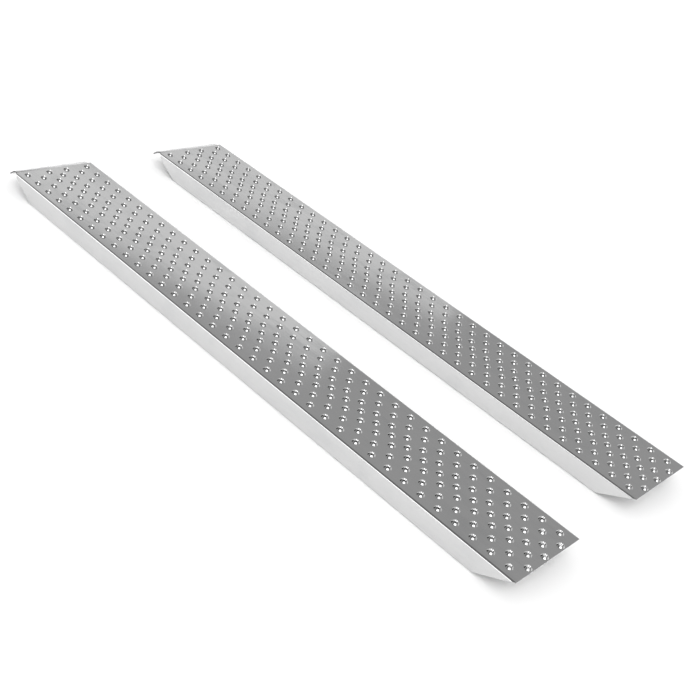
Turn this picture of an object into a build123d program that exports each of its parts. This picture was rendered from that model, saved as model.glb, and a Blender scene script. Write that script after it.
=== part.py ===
from build123d import *
from math import cos, radians, sin
import os

# A pair of galvanised steel track ramps, lying side by side on the ground.
# X runs along the ramps, +X towards the foot, and Y across the pair.
# Z is up, and the origin is on the ground at the middle of the pair.

# Deck channel: one sheet folded down at both sides, with turned-in lower lips
deck_length = 1500.0
deck_width = 215.0
ramp_height = 45.0
sheet = 1.5
bend_radius = 2.0
return_lip = 12.0

# Cut-away ends of the side flanges
upper_bevel = 75.0
upper_land = 9.0
lower_bevel = 83.0
lower_land = 4.0
corner_cut = 8.0
corner_cut_depth = 2.3

# Raised grip holes, in staggered lines along the deck
hole_radius = 3.4
collar_radius = 8.2
collar_height = 3.2
crest_width = 1.3
crest_round = 0.5
hole_pitch = 41.5
first_hole = 17.0
centre_line = 24.0
edge_line_inset = 24.5
end_margin = 1.0

# Hook lip: a bent plate welded under the upper end of the deck
hook_plate = 3.0
hook_inset = 8.0
hook_overlap = 60.0
hook_flat = 4.0
hook_radius = 22.5
hook_angle = 42.0
hook_tail = 12.0
hook_edge_round = 1.0

# Cross braces: short channels, open downwards, between the flanges
brace_count = 5
brace_end_distance = 150.0
brace_width = 25.0
brace_height = 18.0
brace_sheet = 1.5
brace_bend = 2.5
bend_clearance = 0.3

# Fillet welds
bead_leg = 3.0
brace_bead_length = 12.0
hook_bead_length = 26.0
side_bead_start = 20.0

# The pair
track_spacing = 428.0

# Values that follow from the sizes above
half_width = deck_width / 2
flange_inside = half_width - sheet
underside = ramp_height - sheet
hook_turn = radians(hook_angle)
outer_hook_radius = hook_radius + hook_plate
tip_trim = hook_edge_round * (sin(hook_turn) + cos(hook_turn) - 1)
hook_reach = hook_flat + outer_hook_radius * sin(hook_turn) + hook_tail * cos(hook_turn) - tip_trim
upper_end = -(deck_length + hook_reach) / 2 + hook_reach
lower_end = upper_end + deck_length
hook_half_width = half_width - hook_inset
edge_line = half_width - edge_line_inset
between_lines = (centre_line + edge_line) / 2
brace_step = (deck_length - 2 * brace_end_distance) / (brace_count - 1)
brace_places = [upper_end + brace_end_distance + brace_step * i for i in range(brace_count)]


def row_places(start):
    """X of every hole in one line that fits on the deck."""
    room = deck_length - end_margin - collar_radius - start
    return [upper_end + start + hole_pitch * i for i in range(int(room / hole_pitch) + 1)]


def hole_places():
    """Full rows of four, and rows of three set back by half a pitch between them."""
    fours = [-edge_line, -centre_line, centre_line, edge_line]
    threes = [-between_lines, 0, between_lines]
    places = [(x, y, ramp_height) for x in row_places(first_hole) for y in fours]
    places += [(x, y, ramp_height) for x in row_places(first_hole + hole_pitch / 2) for y in threes]
    return places


def make_collar():
    """The pressed-up outside of one grip hole, its base sunk into the sheet."""
    crest_radius = hole_radius + crest_width
    with BuildPart() as collar:
        with BuildSketch(Plane.XZ):
            with BuildLine():
                Polyline(
                    (0, -sheet / 2),
                    (collar_radius, -sheet / 2),
                    (collar_radius, 0),
                    (crest_radius, collar_height),
                    (0, collar_height),
                    close=True,
                )
            make_face()
        revolve(axis=Axis.Z)
        fillet(collar.edges().filter_by(GeomType.CIRCLE).sort_by(Axis.Z)[-1], radius=crest_round)
    return collar.part


def make_recess():
    """The inside of one grip hole: a bore at the crest that widens to the underside."""
    slope = (collar_radius - hole_radius - crest_width) / collar_height
    bore_foot = collar_height - sheet
    recess_radius = hole_radius + slope * (bore_foot + sheet)
    with BuildPart() as recess:
        with BuildSketch(Plane.XZ):
            with BuildLine():
                Polyline(
                    (0, -sheet - 1),
                    (recess_radius, -sheet - 1),
                    (recess_radius, -sheet),
                    (hole_radius, bore_foot),
                    (hole_radius, collar_height + 1),
                    (0, collar_height + 1),
                    close=True,
                )
            make_face()
        revolve(axis=Axis.Z)
    return recess.part


def make_deck_channel():
    """The folded sheet: perforated deck, side flanges with bevelled ends, return lips."""
    collar = make_collar()
    recess = make_recess()
    places = hole_places()
    middle = sheet / 2
    side = half_width - middle
    bend_foot = underside - bend_radius
    with BuildPart() as channel:
        with BuildSketch(Plane.YZ.offset(upper_end)):
            with BuildLine():
                FilletPolyline(
                    (-half_width + return_lip, middle),
                    (-side, middle),
                    (-side, ramp_height - middle),
                    (side, ramp_height - middle),
                    (side, middle),
                    (half_width - return_lip, middle),
                    radius=bend_radius + middle,
                )
            trace(line_width=sheet)
        extrude(amount=deck_length)
        # bevelled flange ends
        with BuildSketch(Plane.XZ.offset(half_width + 1)):
            with BuildLine():
                Polyline(
                    (upper_end - 1, -1),
                    (upper_end - 1, bend_foot),
                    (upper_end + corner_cut, bend_foot),
                    (upper_end + corner_cut, ramp_height - upper_land),
                    (upper_end + upper_bevel, 0),
                    (upper_end + upper_bevel, -1),
                    close=True,
                )
            make_face()
            with BuildLine():
                Polyline(
                    (lower_end + 1, -1),
                    (lower_end + 1, bend_foot),
                    (lower_end - corner_cut, bend_foot),
                    (lower_end - corner_cut, ramp_height - lower_land),
                    (lower_end - lower_bevel, 0),
                    (lower_end - lower_bevel, -1),
                    close=True,
                )
            make_face()
        extrude(amount=-(deck_width + 2), mode=Mode.SUBTRACT)
        # the blank's corners are clipped where the folds run out
        with BuildSketch(Plane.XY.offset(bend_foot - 1)):
            for end, inwards in ((upper_end, 1), (lower_end, -1)):
                for hand in (-1, 1):
                    with BuildLine():
                        Polyline(
                            (end + inwards * corner_cut, hand * half_width),
                            (end, hand * (half_width - corner_cut_depth)),
                            (end - inwards, hand * (half_width - corner_cut_depth)),
                            (end - inwards, hand * (half_width + 1)),
                            (end + inwards * corner_cut, hand * (half_width + 1)),
                            close=True,
                        )
                    make_face()
        extrude(amount=ramp_height, mode=Mode.SUBTRACT)
        # grip holes
        with Locations(*places):
            add(collar)
        with Locations(*places):
            add(recess, mode=Mode.SUBTRACT)
    return channel.part


def make_hook_lip():
    """The plate under the deck's upper end, curled down beyond it to catch a sill."""
    plate_end = upper_end + hook_overlap
    plate_foot = underside - hook_plate
    curl_start = upper_end - hook_flat
    curl_centre = underside - outer_hook_radius

    def on_curl(radius, turn):
        return (curl_start - radius * sin(turn), curl_centre + radius * cos(turn))

    def beyond(point):
        return (point[0] - hook_tail * cos(hook_turn), point[1] - hook_tail * sin(hook_turn))

    outer_end = on_curl(outer_hook_radius, hook_turn)
    inner_end = on_curl(hook_radius, hook_turn)
    outer_middle = on_curl(outer_hook_radius, hook_turn / 2)
    inner_middle = on_curl(hook_radius, hook_turn / 2)
    with BuildPart() as lip:
        with BuildSketch(Plane.XZ.offset(-hook_half_width)):
            with BuildLine():
                Polyline(
                    (curl_start, plate_foot),
                    (plate_end, plate_foot),
                    (plate_end, underside),
                    (curl_start, underside),
                )
                ThreePointArc((curl_start, underside), outer_middle, outer_end)
                Polyline(outer_end, beyond(outer_end), beyond(inner_end), inner_end)
                ThreePointArc(inner_end, inner_middle, (curl_start, plate_foot))
            make_face()
        extrude(amount=2 * hook_half_width)
        fillet(lip.edges().filter_by(Axis.Y).sort_by(Axis.Z)[:2], radius=hook_edge_round)
    return lip.part


def make_cross_brace(x):
    """One brace, its top against the deck and its ends against the flanges."""
    corner = bend_radius + bend_clearance
    foot = underside - brace_height
    with BuildPart() as brace:
        with BuildSketch(Plane.YZ.offset(x - brace_width / 2)):
            with BuildLine():
                Polyline(
                    (-flange_inside, foot),
                    (-flange_inside, underside - corner),
                    (-flange_inside + corner, underside),
                    (flange_inside - corner, underside),
                    (flange_inside, underside - corner),
                    (flange_inside, foot),
                    close=True,
                )
            make_face()
        extrude(amount=brace_width)
        fillet(brace.edges().filter_by(Axis.Y).group_by(Axis.Z)[-1], radius=brace_bend)
        with BuildSketch(Plane.XZ.offset(-half_width)):
            with Locations((x, foot)):
                hollow = Rectangle(
                    brace_width - 2 * brace_sheet,
                    2 * (brace_height - brace_sheet),
                )
            fillet(hollow.vertices().group_by(Axis.Y)[-1], radius=brace_bend - brace_sheet)
        extrude(amount=deck_width, mode=Mode.SUBTRACT)
    return brace.part


def draw_bead(along, across):
    """Section of a fillet weld, from the inner corner: two legs and a rounded face."""
    bulge = bead_leg * 0.6
    Line((0, 0), (along * bead_leg, 0))
    ThreePointArc((along * bead_leg, 0), (along * bulge, across * bulge), (0, across * bead_leg))
    Line((0, across * bead_leg), (0, 0))


def make_brace_welds():
    """An upright bead in the corner outside each leg of each brace, at both flanges."""
    foot = underside - brace_height
    with BuildPart() as welds:
        for x in brace_places:
            for end in (-1, 1):
                for hand in (-1, 1):
                    corner = Plane((x + end * brace_width / 2, hand * flange_inside, foot))
                    with BuildSketch(corner):
                        with BuildLine():
                            draw_bead(end, -hand)
                        make_face()
                    extrude(amount=brace_bead_length, dir=(0, 0, 1))
    return welds.part


def make_hook_welds():
    """Beads along the inner edge of the hook plate and along its two sides."""
    plate_end = upper_end + hook_overlap
    with BuildPart() as welds:
        for y in (-between_lines, 0, between_lines):
            start = Plane(
                (plate_end, y - hook_bead_length / 2, underside),
                x_dir=(1, 0, 0),
                z_dir=(0, -1, 0),
            )
            with BuildSketch(start):
                with BuildLine():
                    draw_bead(1, -1)
                make_face()
            extrude(amount=hook_bead_length, dir=(0, 1, 0))
        for hand in (-1, 1):
            start = Plane(
                (upper_end + side_bead_start, hand * hook_half_width, underside),
                x_dir=(0, 1, 0),
                z_dir=(1, 0, 0),
            )
            with BuildSketch(start):
                with BuildLine():
                    draw_bead(hand, -1)
                make_face()
            extrude(amount=hook_bead_length, dir=(1, 0, 0))
    return welds.part


def write_piece(piece, name, y):
    """Set one piece at its ramp's centre line, label it and write it."""
    with BuildPart() as placed:
        with Locations((0, y, 0)):
            add(piece)
    placed.part.label = name
    export_step(placed.part, f"parts/{name}.step")


pieces = {
    "deck_channel": make_deck_channel(),
    "hook_lip": make_hook_lip(),
    "hook_welds": make_hook_welds(),
    "brace_welds": make_brace_welds(),
}
for number, place in enumerate(brace_places, start=1):
    pieces[f"cross_brace_{number}"] = make_cross_brace(place)

os.makedirs("parts", exist_ok=True)
for side_name, y_place in (("left", -track_spacing / 2), ("right", track_spacing / 2)):
    for piece_name, piece_shape in pieces.items():
        write_piece(piece_shape, f"{side_name}_{piece_name}", y_place)
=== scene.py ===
import bmesh
import bpy
import math
from mathutils import Matrix, Quaternion, Vector


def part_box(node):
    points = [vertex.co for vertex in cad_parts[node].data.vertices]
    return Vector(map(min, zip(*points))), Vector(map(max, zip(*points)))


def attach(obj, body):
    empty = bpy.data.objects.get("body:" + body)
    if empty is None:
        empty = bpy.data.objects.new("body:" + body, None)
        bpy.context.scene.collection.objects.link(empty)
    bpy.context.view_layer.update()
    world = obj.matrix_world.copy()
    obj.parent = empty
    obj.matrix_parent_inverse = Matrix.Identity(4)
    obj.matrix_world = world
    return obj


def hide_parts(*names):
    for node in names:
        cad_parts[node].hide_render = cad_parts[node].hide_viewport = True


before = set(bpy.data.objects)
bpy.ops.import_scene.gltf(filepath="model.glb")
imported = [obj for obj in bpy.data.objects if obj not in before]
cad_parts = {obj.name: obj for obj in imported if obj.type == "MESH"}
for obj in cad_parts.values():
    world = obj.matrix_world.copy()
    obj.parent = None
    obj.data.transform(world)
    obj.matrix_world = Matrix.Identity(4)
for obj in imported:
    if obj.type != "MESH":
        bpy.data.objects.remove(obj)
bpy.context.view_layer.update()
print("frame loaded")

# Each piece is modelled about its ramp's own centre line, then shifted across to it.
# X runs along a ramp to its foot, Y across it and Z up from the ground. Sizes are in metres.

deckLow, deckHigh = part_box("left_deck_channel")
rightLow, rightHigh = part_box("right_deck_channel")
hookLow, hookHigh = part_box("left_hook_lip")
rampCentres = {"left": (deckLow.y + deckHigh.y) / 2, "right": (rightLow.y + rightHigh.y) / 2}
upperEnd, lowerEnd = deckLow.x, deckHigh.x
halfWidth = (deckHigh.y - deckLow.y) / 2
hookHalfWidth = (hookHigh.y - hookLow.y) / 2
alongRamp, acrossRamp, up = Vector((1, 0, 0)), Vector((0, 1, 0)), Vector((0, 0, 1))
tiny = 1e-7  # a cut that passes a corner nearer than this takes the corner
merge = 1e-6  # corners nearer than this are one corner


def pullEdges(bm, edges, move):
    # draws the sheet on from some of its edges, and gives its new edges
    drawn = bmesh.ops.extrude_edge_only(bm, edges=edges)["geom"]
    corners = [part for part in drawn if isinstance(part, bmesh.types.BMVert)]
    bmesh.ops.translate(bm, verts=corners, vec=move)
    newCorners = set(corners)
    newEdges = [part for part in drawn if isinstance(part, bmesh.types.BMEdge)]
    return [edge for edge in newEdges if newCorners.issuperset(edge.verts)]


def foldEdges(bm, edges, centre, axis, angle, steps):
    # draws the sheet on round a fold, and gives its new edges
    corners = {corner for edge in edges for corner in edge.verts}
    turned = bmesh.ops.spin(
        bm, geom=[*edges, *corners], cent=centre, axis=axis, angle=angle, steps=steps
    )
    return [part for part in turned["geom_last"] if isinstance(part, bmesh.types.BMEdge)]


def splitFaces(bm, faces, point, normal):
    # cuts the faces along a plane and leaves both halves
    corners = {corner for face in faces for corner in face.verts}
    edges = {edge for face in faces for edge in face.edges}
    geometry = [*faces, *edges, *corners]
    bmesh.ops.bisect_plane(bm, geom=geometry, plane_co=point, plane_no=normal, dist=tiny)


def cutOff(bm, point, normal):
    # removes everything on the normal's side of a plane
    geometry = [*bm.verts, *bm.edges, *bm.faces]
    bmesh.ops.bisect_plane(
        bm, geom=geometry, plane_co=point, plane_no=normal, clear_outer=True, dist=tiny
    )


def thicken(bm, thickness, outside):
    # gives an open skin its wall, on the side away from the outside direction
    bmesh.ops.recalc_face_normals(bm, faces=bm.faces)
    flattest = max(bm.faces, key=lambda face: abs(face.normal.dot(outside)) * face.calc_area())
    if flattest.normal.dot(outside) < 0:
        bmesh.ops.reverse_faces(bm, faces=bm.faces)
    bmesh.ops.solidify(bm, geom=bm.faces[:], thickness=thickness)
    bmesh.ops.recalc_face_normals(bm, faces=bm.faces)


def meshOf(bm, name, sharpAngle=40):
    # smooth faces, sharp where they meet at more than this angle in degrees
    for face in bm.faces:
        face.smooth = True
    for edge in bm.edges:
        edge.smooth = edge.calc_face_angle(math.pi) < math.radians(sharpAngle)
    mesh = bpy.data.meshes.new(name)
    bm.to_mesh(mesh)
    bm.free()
    return mesh


def placePiece(mesh, side, name, nodes, material):
    # one ramp's copy of a mesh, riding on that ramp in place of its nodes
    copy = mesh.copy()
    copy.transform(Matrix.Translation((0, rampCentres[side], 0)))
    copy.materials.clear()
    copy.materials.append(material)
    piece = bpy.data.objects.new(f"{side}_{name}", copy)
    bpy.context.scene.collection.objects.link(piece)
    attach(piece, f"{side}_ramp")
    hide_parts(*[f"{side}_{node}" for node in nodes])


class Wire:
    # an output socket, on which plain sums add Math nodes
    def __init__(self, graph, socket):
        self.graph = graph
        self.socket = socket

    def sum(self, operation, first, second):
        return self.graph.node("ShaderNodeMath", {"operation": operation}, [first, second])

    def __add__(self, other):
        return self.sum("ADD", self, other)

    def __radd__(self, other):
        return self.sum("ADD", other, self)

    def __sub__(self, other):
        return self.sum("SUBTRACT", self, other)

    def __rsub__(self, other):
        return self.sum("SUBTRACT", other, self)

    def __mul__(self, other):
        return self.sum("MULTIPLY", self, other)

    def __rmul__(self, other):
        return self.sum("MULTIPLY", other, self)

    def __abs__(self):
        return self.graph.node("ShaderNodeMath", {"operation": "ABSOLUTE"}, [self])


class Graph:
    # the nodes of one material or of the world
    def __init__(self, owner, shader):
        owner.use_nodes = True
        self.nodes = owner.node_tree.nodes
        self.links = owner.node_tree.links
        self.shader = self.nodes[shader]

    def node(self, kind, settings, inputs, output=0):
        made = self.nodes.new(kind)
        for key, value in settings.items():
            setattr(made, key, value)
        sockets = inputs.items() if isinstance(inputs, dict) else enumerate(inputs)
        for key, value in sockets:
            self.connect(made.inputs[key], value)
        return Wire(self, made.outputs[output])

    def connect(self, socket, value):
        if isinstance(value, Wire):
            self.links.new(value.socket, socket)
        else:
            socket.default_value = value

    def feed(self, socket, value):
        self.connect(self.shader.inputs[socket], value)

    def between(self, value, low, high):
        # 0 below low, 1 above high, soft in between
        inputs = {"Value": value, "From Min": low, "From Max": high}
        settings = {"interpolation_type": "SMOOTHSTEP"}
        return self.node("ShaderNodeMapRange", settings, inputs, "Result")

    def part(self, place, axis):
        return self.node("ShaderNodeSeparateXYZ", {}, [place], axis)

    def towards(self, direction, aim):
        # how nearly a direction runs along another, 1 where they agree
        settings = {"operation": "DOT_PRODUCT"}
        return self.node("ShaderNodeVectorMath", settings, [direction, aim], "Value")


class Finish(Graph):
    # a material in the making, laid out on its piece's own coordinates
    def __init__(self, name, constants):
        self.material = bpy.data.materials.new(name)
        super().__init__(self.material, "Principled BSDF")
        self.place = self.node("ShaderNodeTexCoord", {}, {}, "Object")
        for socket, value in constants.items():
            self.feed(socket, value)

    def stretched(self, scale):
        return self.node("ShaderNodeMapping", {}, {"Vector": self.place, "Scale": scale})

    def noise(self, place, scale, detail=3, roughness=0.5, distortion=0.0):
        inputs = {
            "Vector": place,
            "Scale": scale,
            "Detail": detail,
            "Roughness": roughness,
            "Distortion": distortion,
        }
        return self.node("ShaderNodeTexNoise", {}, inputs, "Fac")

    def crystals(self, scale):
        # another tone for each zinc crystal
        inputs = {"Vector": self.place, "Scale": scale}
        colours = self.node("ShaderNodeTexVoronoi", {"feature": "F1"}, inputs, "Color")
        return self.node("ShaderNodeSeparateColor", {}, [colours])

    def blend(self, amount, first, second):
        # inputs 6 and 7 and output 2 are the node's colours
        settings = {"data_type": "RGBA", "blend_type": "MIX"}
        inputs = {"Factor": amount, 6: first, 7: second}
        return self.node("ShaderNodeMix", settings, inputs, 2)

    def bump(self, height, distance, under=None):
        inputs = {"Height": height, "Distance": distance}
        if under is not None:
            inputs["Normal"] = under
        return self.node("ShaderNodeBump", {}, inputs, "Normal")


def grey(tone, warmth=0.0):
    # warmth turns it a little towards red, or towards blue below 0
    return (tone * (1 + warmth), tone, tone * (1 - warmth), 1)


# The finishes' patterns are counted per metre, and their depths are in metres.

sheetFinish = {
    "tone": 0.665,
    "darkTone": 0.61,
    "wornTone": 0.8,  # on the collars' rims
    "wornHeight": (0.0027, 0.0032),  # above the deck
    "wornPolish": 0.05,
    "roughness": 0.075,
    "smudge": 0.045,  # what a smudge adds to the roughness
    "streak": 0.02,
    "cloud": 0.02,
    "crystals": 130,
    "waviness": 0.00009,  # how far the sheet strays from flat
    "rollMarks": 0.0000015,
}


def galvanisedSheet():
    finish = Finish("galvanised_sheet_zinc", {"Metallic": 1.0})
    rolled = finish.noise(finish.stretched((1.5, 260, 260)), 1, detail=4, roughness=0.6)
    smudged = finish.stretched((7, 16, 16))
    smudges = finish.noise(smudged, 1, detail=6, roughness=0.62, distortion=0.6)
    cloud = finish.noise(finish.place, 60, detail=5, roughness=0.7)
    wavy = finish.noise(finish.stretched((5.5, 9, 9)), 1, detail=2, roughness=0.45, distortion=0.3)
    spangle = finish.crystals(sheetFinish["crystals"])
    dull = finish.between(smudges, 0.46, 0.66)
    streaks = finish.between(rolled, 0.38, 0.72)
    aboveDeck = finish.part(finish.place, "Z") - deckTop
    worn = finish.between(aboveDeck, *sheetFinish["wornHeight"])
    tone = finish.blend(
        dull * 0.55 + streaks * 0.25 + spangle * 0.12,
        grey(sheetFinish["tone"]),
        grey(sheetFinish["darkTone"], -0.006),
    )
    finish.feed("Base Color", finish.blend(worn * 0.7, tone, grey(sheetFinish["wornTone"])))
    roughness = sheetFinish["roughness"] + dull * sheetFinish["smudge"]
    roughness = roughness + streaks * sheetFinish["streak"] + cloud * sheetFinish["cloud"]
    finish.feed("Roughness", roughness - worn * sheetFinish["wornPolish"])
    wavySurface = finish.bump(wavy, sheetFinish["waviness"])
    finish.feed("Normal", finish.bump(rolled, sheetFinish["rollMarks"], under=wavySurface))
    return finish.material


plateFinish = {
    "crystals": 90,
    "clouds": 22,
    "grains": 700,
    "dullTone": 0.82,  # as a share of the plate's own tone
    "dullness": 0.12,  # what a dull patch adds to the roughness
    "spangle": 0.05,
    "lumps": 0.00025,
    "grainDepth": 0.000006,
    # the shear-cut side edges are painted nearly black: painted shade standing in for their shadow
    "edgeShadeTone": 0.09,
    "edgeShadeDepth": (0.0006, 0.0002),  # the painted shade on a shear-cut edge starts, and is whole this far in
}


def galvanisedPlate(name, tone, roughness, cutEdge=None):
    # cutEdge is how far the shear-cut side edges, which get painted shade, lie from a ramp's centre
    # line
    finish = Finish(name, {"Metallic": 1.0})
    spangle = finish.crystals(plateFinish["crystals"])
    cloud = finish.noise(finish.place, plateFinish["clouds"], detail=6, roughness=0.65)
    grain = finish.noise(finish.place, plateFinish["grains"], detail=2)
    dull = finish.between(cloud, 0.42, 0.68)
    dullGrey = grey(tone * plateFinish["dullTone"], -0.008)
    colour = finish.blend(dull * 0.6 + spangle * 0.25, grey(tone), dullGrey)
    # painted shade: darkens the plate's shear-cut side edges nearly to black
    if cutEdge:
        # the ramps lie as far to either side of the middle
        offCentre = abs(abs(finish.part(finish.place, "Y")) - rampCentres["right"])
        start, whole = plateFinish["edgeShadeDepth"]
        edgeShade = finish.between(offCentre, cutEdge - start, cutEdge - whole)
        colour = finish.blend(edgeShade, colour, grey(plateFinish["edgeShadeTone"], 0.01))
    finish.feed("Base Color", colour)
    patchy = dull * plateFinish["dullness"] + spangle * plateFinish["spangle"]
    finish.feed("Roughness", roughness + patchy)
    lumpy = finish.bump(cloud, plateFinish["lumps"])
    finish.feed("Normal", finish.bump(grain, plateFinish["grainDepth"], under=lumpy))
    return finish.material


beadFinish = {
    "tone": 0.62,
    "sootTone": 0.40,
    "sootPatches": 160,
    "roughness": 0.34,
    "sootRoughness": 0.22,
    "pits": 0.0002,
}


def weldMetal():
    finish = Finish("weld_bead_zinc", {"Metallic": 1.0})
    soot = finish.noise(finish.place, beadFinish["sootPatches"], detail=5, roughness=0.6)
    dirty = finish.between(soot, 0.40, 0.68)
    sooty = grey(beadFinish["sootTone"], 0.02)
    finish.feed("Base Color", finish.blend(dirty, grey(beadFinish["tone"]), sooty))
    finish.feed("Roughness", beadFinish["roughness"] + dirty * beadFinish["sootRoughness"])
    finish.feed("Normal", finish.bump(soot, beadFinish["pits"]))
    return finish.material


# The deck channel is one folded sheet with its grip holes.

channel = {
    "thickness": 0.0015,
    "foldRadius": 0.0035,  # outside
    "foldSteps": 6,
    "foldEase": 0.0005,  # narrow strip that keeps the deck flat beside the fold
    "returnLip": 0.012,
    "upperBevel": 0.075,  # the flange reaches the ground this far in from the end
    "upperLand": 0.009,  # and is this deep where it starts
    "lowerBevel": 0.083,
    "lowerLand": 0.004,
    "cornerCut": 0.008,
    "cornerDepth": 0.0023,
}
grips = {
    "pitch": 0.0415,
    "first": 0.017,
    "endMargin": 0.0092,
    "centreLine": 0.024,
    "edgeLine": halfWidth - 0.0245,
    # each ring's radius and height above the deck, from a collar's foot over its rim into the hole
    "profile": [
        (0.0082, 0.0),
        (0.00575, 0.00275),
        (0.0053, 0.0031),
        (0.0049, 0.0032),
        (0.0034, 0.0008),
    ],
    # the same rings on the underside of the sheet, which rises to the rim and turns down inside it
    "under": [
        (0.0077, -0.0015),
        (0.00535, 0.0010),
        (0.0052, 0.0011),
        (0.0050, 0.0010),
        (0.0041, -0.0001),
    ],
    "inset": 0.0001,  # a new ring's first gap, before it takes its own radius
    "startTurn": 0.1,  # keeps the corner straight ahead of a hole first in its ring
}
gripHeight = max(height for radius, height in grips["profile"])
deckTop = deckHigh.z - gripHeight
underside = deckTop - channel["thickness"]
middleLine = (grips["centreLine"] + grips["edgeLine"]) / 2  # the side holes of a row of three


def rowPlaces(start):
    room = lowerEnd - upperEnd - grips["endMargin"] - start
    count = int(room / grips["pitch"]) + 1
    return [upperEnd + start + grips["pitch"] * i for i in range(count)]


def gripRows():
    # full rows of four, and rows of three set back by half a pitch between them
    fours = [-grips["edgeLine"], -grips["centreLine"], grips["centreLine"], grips["edgeLine"]]
    threes = [-middleLine, 0, middleLine]
    rows = [(x, fours) for x in rowPlaces(grips["first"])]
    rows += [(x, threes) for x in rowPlaces(grips["first"] + grips["pitch"] / 2)]
    return rows


def deckGrid(bm):
    # a grid with a corner at each hole and lines halfway between the rows of holes
    holeLines = [0, grips["centreLine"], middleLine, grips["edgeLine"]]
    lines = [0]
    for inner, outer in zip(holeLines, holeLines[1:]):
        lines += [(inner + outer) / 2, outer]
    lines.append(lines[-1] * 2 - lines[-2])
    lines = [-y for y in reversed(lines[1:])] + lines
    cell = grips["pitch"] / 4  # a row set back by half a pitch falls on a line too
    before = math.ceil(grips["first"] / cell)
    after = math.ceil((lowerEnd - upperEnd - grips["first"]) / cell) + 1
    columns, rows = before + after, len(lines) - 1
    bmesh.ops.create_grid(bm, x_segments=columns, y_segments=rows, size=1)
    corners = {}
    for corner in bm.verts:
        column = round((corner.co.x + 1) / 2 * columns)
        row = round((corner.co.y + 1) / 2 * rows)
        corner.co = (upperEnd + grips["first"] + (column - before) * cell, lines[row], deckTop)
        corners[column - before, row] = corner
    return corners, lines, cell


def turnAbout(place, x, y):
    # how far round a hole a corner lies, counted from just before the way along the ramp
    return (math.atan2(place.y - y, place.x - x) + grips["startTurn"]) % math.tau


def pressGrips(bm):
    # the eight cells at each hole become one face, which is drawn in ring by ring and cut out
    ringNumber = bm.verts.layers.int.new("ring")
    holeNumber = bm.verts.layers.int.new("hole")
    corners, lines, cell = deckGrid(bm)
    blanks, centres = [], []
    for x, places in gripRows():
        column = round((x - upperEnd - grips["first"]) / cell)
        for y in places:
            row = min(range(len(lines)), key=lambda index: abs(lines[index] - y))
            cells = {*corners[column - 1, row].link_faces, *corners[column + 1, row].link_faces}
            blanks += bmesh.ops.dissolve_faces(bm, faces=[*cells], use_verts=False)["region"]
            centres.append((x, y))
    for number, (radius, height) in enumerate(grips["profile"], 1):
        bmesh.ops.inset_individual(bm, faces=blanks, thickness=grips["inset"])
        for hole, (blank, (x, y)) in enumerate(zip(blanks, centres)):
            ring = sorted(blank.verts, key=lambda corner: turnAbout(corner.co, x, y))
            for i, corner in enumerate(ring):
                angle = math.tau * i / len(ring)
                corner.co.x = x + radius * math.cos(angle)
                corner.co.y = y + radius * math.sin(angle)
                corner.co.z = deckTop + height
                corner[ringNumber], corner[holeNumber] = number, hole
    bmesh.ops.delete(bm, geom=blanks, context="FACES")
    return lines[-1], centres


def shapeUnderside(bm, centres):
    # gives the collars' lower rings their own shape, since the sheet is pressed thinner there
    ringNumber = bm.verts.layers.int["ring"]
    holeNumber = bm.verts.layers.int["hole"]
    foot = grips["profile"][0][0]
    for corner in bm.verts:
        centre = Vector(centres[corner[holeNumber]])
        fromCentre = corner.co.xy - centre
        # corners cut at the deck's ends have borrowed numbers, but lie outside the collar
        if corner[ringNumber] and fromCentre.length < foot + merge:
            top = deckTop + grips["profile"][corner[ringNumber] - 1][1]
            if abs(corner.co.z - top) > merge:
                radius, height = grips["under"][corner[ringNumber] - 1]
                corner.co = (*(centre + fromCentre.normalized() * radius), deckTop + height)


def liesAlong(edge, y):
    return all(abs(corner.co.y - y) < merge for corner in edge.verts)


def foldSides(bm, deckEdge):
    # down over the side, in along the ground
    radius, ease, steps = channel["foldRadius"], channel["foldEase"], channel["foldSteps"]
    foldStart = halfWidth - radius
    for hand in (-1, 1):
        rim = [edge for edge in bm.edges if edge.is_boundary and liesAlong(edge, hand * deckEdge)]
        outward = acrossRamp * hand
        quarter = -hand * math.pi / 2
        edges = pullEdges(bm, rim, outward * (foldStart - ease - deckEdge))
        edges = pullEdges(bm, edges, outward * ease)
        centre = (0, hand * foldStart, deckTop - radius)
        edges = foldEdges(bm, edges, centre, alongRamp, quarter, steps)
        edges = pullEdges(bm, edges, -up * ease)
        edges = pullEdges(bm, edges, -up * (deckTop - 2 * radius - ease))
        centre = (0, hand * foldStart, radius)
        edges = foldEdges(bm, edges, centre, alongRamp, quarter, steps)
        pullEdges(bm, edges, -outward * (channel["returnLip"] - radius))


def facesBelow(bm, height):
    return [face for face in bm.faces if face.calc_center_median().z < height]


def trimEnds(bm):
    # slants the flanges off at both ends, and clips the deck's corners
    foldFoot = deckTop - channel["foldRadius"]
    ends = (
        (upperEnd, 1, channel["upperBevel"], channel["upperLand"]),
        (lowerEnd, -1, channel["lowerBevel"], channel["lowerLand"]),
    )
    for end, inward, bevel, land in ends:
        foot = Vector((end + inward * bevel, 0, 0))
        head = Vector((end + inward * channel["cornerCut"], 0, deckTop - land))
        slope = head - foot
        outward = Vector((-inward * slope.z, 0, inward * slope.x))
        for point, normal in ((foot, outward), (head, -inward * alongRamp)):
            splitFaces(bm, facesBelow(bm, foldFoot), point, normal)
            offcuts = [
                face for face in facesBelow(bm, foldFoot)
                if (face.calc_center_median() - point).dot(normal) > 0
            ]
            bmesh.ops.delete(bm, geom=offcuts, context="FACES")
        for hand in (-1, 1):
            corner = Vector((end, hand * (halfWidth - channel["cornerDepth"]), 0))
            outward = Vector((-inward * channel["cornerDepth"], hand * channel["cornerCut"], 0))
            cutOff(bm, corner, outward)


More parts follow.
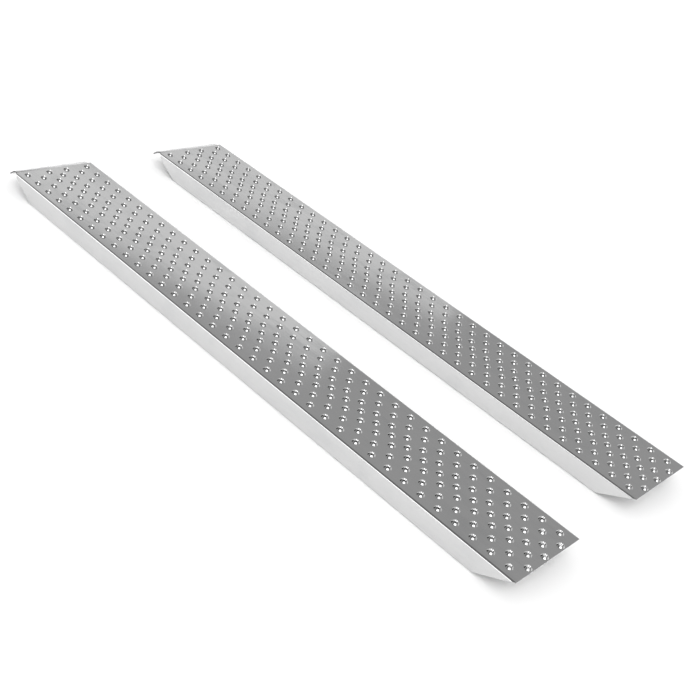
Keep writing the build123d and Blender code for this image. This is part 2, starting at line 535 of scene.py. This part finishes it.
def makeChannel():
    bm = bmesh.new()
    deckEdge, centres = pressGrips(bm)
    cutOff(bm, (upperEnd, 0, 0), -alongRamp)
    cutOff(bm, (lowerEnd, 0, 0), alongRamp)
    foldSides(bm, deckEdge)
    trimEnds(bm)
    bmesh.ops.remove_doubles(bm, verts=bm.verts, dist=merge)
    thicken(bm, channel["thickness"], up)
    shapeUnderside(bm, centres)
    return meshOf(bm, "channel")


# The hook is the bent plate at the upper end.

hook = {
    "thickness": 0.003,
    "overlap": 0.060,
    "flat": 0.004,
    "outsideRadius": 0.0255,
    "angle": math.radians(42),
    "steps": 9,
    "tail": 0.0118,
    "edgeRound": 0.0007,
    "squareEdge": math.radians(60),  # edges sharper than this are rounded
}


def makeHook():
    bm = bmesh.new()
    plateEnd = upperEnd + hook["overlap"]
    ends = [bm.verts.new((plateEnd, hand * hookHalfWidth, underside)) for hand in (-1, 1)]
    edges = [bm.edges.new(ends)]
    edges = pullEdges(bm, edges, -alongRamp * (hook["overlap"] + hook["flat"]))
    curlCentre = (upperEnd - hook["flat"], 0, underside - hook["outsideRadius"])
    edges = foldEdges(bm, edges, curlCentre, acrossRamp, -hook["angle"], hook["steps"])
    tail = Vector((-math.cos(hook["angle"]), 0, -math.sin(hook["angle"])))
    pullEdges(bm, edges, tail * hook["tail"])
    thicken(bm, hook["thickness"], up)
    square = [edge for edge in bm.edges if edge.calc_face_angle(0) > hook["squareEdge"]]
    bmesh.ops.bevel(
        bm, geom=square, offset=hook["edgeRound"], segments=2,
        profile=0.5, affect="EDGES", material=-1,
    )
    return meshOf(bm, "hook", 50)


welds = {
    "radius": 0.0019,
    "offset": 0.0008,  # how far a bead's middle stands out of its corner
    "ripple": 0.09,
    "rippleLength": 0.0017,
    "stepsPerRipple": 4,
    "segments": 10,
    "bluntness": 6,  # higher keeps a bead full for longer before its ends
    "braceLength": 0.012,
    "hookLength": 0.026,
    "hookSideStart": 0.020,
}


def beadAlongZ(length):
    # a bead of overlapping ripples that closes to a point at both ends
    bm = bmesh.new()
    ripples = round(length / welds["rippleLength"])
    steps = ripples * welds["stepsPerRipple"]
    outline = []
    for step in range(steps + 1):
        along = step / steps
        taper = math.sqrt(max(0, 1 - (2 * along - 1) ** welds["bluntness"]))
        swell = 1 + welds["ripple"] * abs(math.sin(math.pi * along * ripples))
        outline.append(bm.verts.new((welds["radius"] * taper * swell, 0, length * along)))
    lines = [bm.edges.new(pair) for pair in zip(outline, outline[1:])]
    bmesh.ops.spin(
        bm, geom=[*outline, *lines], cent=(0, 0, 0), axis=(0, 0, 1),
        angle=math.tau, steps=welds["segments"], use_merge=True,
    )
    bmesh.ops.remove_doubles(bm, verts=bm.verts, dist=merge)
    bmesh.ops.recalc_face_normals(bm, faces=bm.faces)
    return meshOf(bm, "bead", 60)


def layBeads(name, bead, places):
    # each place is a bead's start, the way it runs and the way its corner opens
    bm = bmesh.new()
    for start, direction, opening in places:
        before = len(bm.verts)
        bm.from_mesh(bead)
        bm.verts.ensure_lookup_table()
        opening = opening.normalized()
        turn = Matrix((direction.cross(opening), opening, direction)).transposed().to_4x4()
        place = Matrix.Translation(start + opening * welds["offset"]) @ turn
        bmesh.ops.transform(bm, matrix=place, verts=bm.verts[before:])
    bmesh.ops.recalc_face_normals(bm, faces=bm.faces)
    return meshOf(bm, name, 60)


def makeBraceWelds():
    # an upright bead outside each leg of each brace, at both flanges
    places = []
    braces = [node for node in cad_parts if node.startswith("left_cross_brace")]
    for node in sorted(braces):
        low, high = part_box(node)
        for x, end in ((low.x, -1), (high.x, 1)):
            for hand in (-1, 1):
                start = Vector((x, hand * (halfWidth - channel["thickness"]), low.z))
                places.append((start, up, end * alongRamp - hand * acrossRamp))
    return layBeads("braceWelds", beadAlongZ(welds["braceLength"]), places)


def makeHookWelds():
    # three beads along the plate's inner edge and one on each side of it
    places = []
    half = welds["hookLength"] / 2
    for y in (-middleLine, 0, middleLine):
        start = Vector((upperEnd + hook["overlap"], y - half, underside))
        places.append((start, acrossRamp, alongRamp - up))
    for hand in (-1, 1):
        start = Vector((upperEnd + welds["hookSideStart"], hand * hookHalfWidth, underside))
        places.append((start, alongRamp, hand * acrossRamp - up))
    return layBeads("hookWelds", beadAlongZ(welds["hookLength"]), places)


sheetZinc = galvanisedSheet()
plateZinc = galvanisedPlate(
    "galvanised_plate_zinc", tone=0.86, roughness=0.20, cutEdge=hookHalfWidth
)
braceZinc = galvanisedPlate("galvanised_brace_zinc", tone=0.60, roughness=0.30)
beadZinc = weldMetal()
print("finishes made")

channelMesh = makeChannel()
hookMesh = makeHook()
braceWeldMesh = makeBraceWelds()
hookWeldMesh = makeHookWelds()
for side in rampCentres:
    placePiece(channelMesh, side, "deck", ["deck_channel"], sheetZinc)
    placePiece(hookMesh, side, "hook", ["hook_lip"], plateZinc)
    placePiece(braceWeldMesh, side, "brace_beads", ["brace_welds"], beadZinc)
    placePiece(hookWeldMesh, side, "hook_beads", ["hook_welds"], beadZinc)
print("ramps made, channel faces:", len(channelMesh.polygons))

for node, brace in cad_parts.items():
    if "cross_brace" in node:
        brace.data.materials.clear()
        brace.data.materials.append(braceZinc)
print("braces finished")


studio = {
    "floorHalf": 40,
    "floorDrop": 0.0004,  # the floor lies this far below the ramps
    "floorTone": 0.88,
    "floorRoughness": 0.7,
    "floorGloss": 0.1,
    # brightness of the sky: a white sweep low down, grey walls and a dark ceiling
    "sweep": 0.95,
    "wall": 0.41,
    "ceiling": 0.19,
    # how high each gives way to the next, as a share of straight up
    "sweepTop": (0.33, 0.39),
    "wallTop": (0.63, 0.70),
    # a white band low on the near left, a white lamp high on the near right, a dark flag at the left
    "band": 2.4,
    "lamp": 2.2,
    "nearEdge": (0.36, 0.46),
    "nearTop": (0.38, 0.48),
    "leftEdge": (0.12, 0.28),
    "lampDirection": (0.48, -0.48, 0.73),
    "lampEdge": (0.87, 0.90),
    "flag": 0.05,
    "flagDirection": (-0.98, -0.10, 0.15),
    "flagEdge": (0.88, 0.92),
    "fillDirection": (-0.1, -0.2, 1.0),
    "fillAngle": math.radians(150),
    "fillStrength": 2.0,
    "panelHeight": 2.485,
    "panelPower": 3.95,
    # a panel's mirror image on a deck: its near corner towards the foot, its turn and its size
    "panelCorner": (0.145, 0.033),
    "panelTurn": math.radians(11.7),
    "panelImage": (1.25, 0.27),
}
view = {
    "place": (1.248, -1.770, 1.265),
    "aim": (0.096, -0.012, 0.0),
    "roll": math.radians(18.66),
    "lens": 57.8,
    "sensorWidth": 36,
}


def addFloor():
    bm = bmesh.new()
    bmesh.ops.create_grid(bm, x_segments=1, y_segments=1, size=studio["floorHalf"])
    bmesh.ops.translate(bm, verts=bm.verts, vec=(0, 0, -studio["floorDrop"]))
    floor = bpy.data.objects.new("floor", meshOf(bm, "floor"))
    bpy.context.scene.collection.objects.link(floor)
    constants = {
        "Base Color": grey(studio["floorTone"]),
        "Roughness": studio["floorRoughness"],
        "Specular IOR Level": studio["floorGloss"],
    }
    floor.data.materials.append(Finish("pale_floor", constants).material)


def addSky():
    world = bpy.data.worlds.new("studio")
    sky = Graph(world, "Background")
    direction = sky.node("ShaderNodeTexCoord", {}, {}, "Generated")
    height = sky.part(direction, "Z")
    aboveSweep = sky.between(height, *studio["sweepTop"])
    aboveWall = sky.between(height, *studio["wallTop"])
    near = sky.between(0 - sky.part(direction, "Y"), *studio["nearEdge"])
    left = sky.between(0 - sky.part(direction, "X"), *studio["leftEdge"])
    band = near * left * (1 - sky.between(height, *studio["nearTop"]))
    lamp = sky.between(sky.towards(direction, studio["lampDirection"]), *studio["lampEdge"])
    flag = sky.between(sky.towards(direction, studio["flagDirection"]), *studio["flagEdge"])
    around = studio["sweep"] + aboveSweep * (studio["wall"] - studio["sweep"])
    around = around + aboveWall * (studio["ceiling"] - studio["wall"])
    around = around + band * (studio["band"] - around)
    around = around + lamp * (studio["lamp"] - around)
    sky.feed("Color", grey(1))
    sky.feed("Strength", around + flag * (studio["flag"] - around))
    bpy.context.scene.world = world


def addFill():
    # lights the floor evenly from above, without showing in the metal
    lamp = bpy.data.lights.new("fill", "SUN")
    lamp.angle = studio["fillAngle"]
    lamp.energy = studio["fillStrength"]
    light = bpy.data.objects.new("fill", lamp)
    light.rotation_euler = Vector(studio["fillDirection"]).to_track_quat("Z", "Y").to_euler()
    light.visible_glossy = False
    bpy.context.scene.collection.objects.link(light)


def addPanel(name, place, size):
    lamp = bpy.data.lights.new(name, "AREA")
    lamp.shape = "RECTANGLE"
    lamp.size, lamp.size_y = size
    lamp.energy = studio["panelPower"]
    light = bpy.data.objects.new(name, lamp)
    light.location = (*place, studio["panelHeight"])
    light.rotation_euler = (0, 0, studio["panelTurn"])
    bpy.context.scene.collection.objects.link(light)


def addPanels():
    # each hangs where the deck mirrors it to the camera, larger than its image and farther off
    eye = Vector(view["place"])
    growth = 1 + (studio["panelHeight"] - deckTop) / (eye.z - deckTop)
    length, width = studio["panelImage"]
    turn = Matrix.Rotation(studio["panelTurn"], 3, "Z")
    for side, centre in rampCentres.items():
        corner = Vector((studio["panelCorner"][0], centre + studio["panelCorner"][1], 0))
        middle = corner + turn @ Vector((-length / 2, width / 2, 0))
        place = eye.xy + (middle.xy - eye.xy) * growth
        addPanel(f"{side}_panel", place, (length * growth, width * growth))


def addCamera():
    camera = bpy.data.objects.new("camera", bpy.data.cameras.new("camera"))
    camera.data.lens = view["lens"]
    camera.data.sensor_width = view["sensorWidth"]
    camera.location = view["place"]
    sight = (Vector(view["aim"]) - Vector(view["place"])).to_track_quat("-Z", "Y")
    camera.rotation_mode = "QUATERNION"
    camera.rotation_quaternion = sight @ Quaternion((0, 0, 1), view["roll"])
    bpy.context.scene.collection.objects.link(camera)
    bpy.context.scene.camera = camera


addSky()
addFloor()
addFill()
addPanels()
addCamera()
bpy.context.scene.view_settings.view_transform = "Standard"
print("studio made")
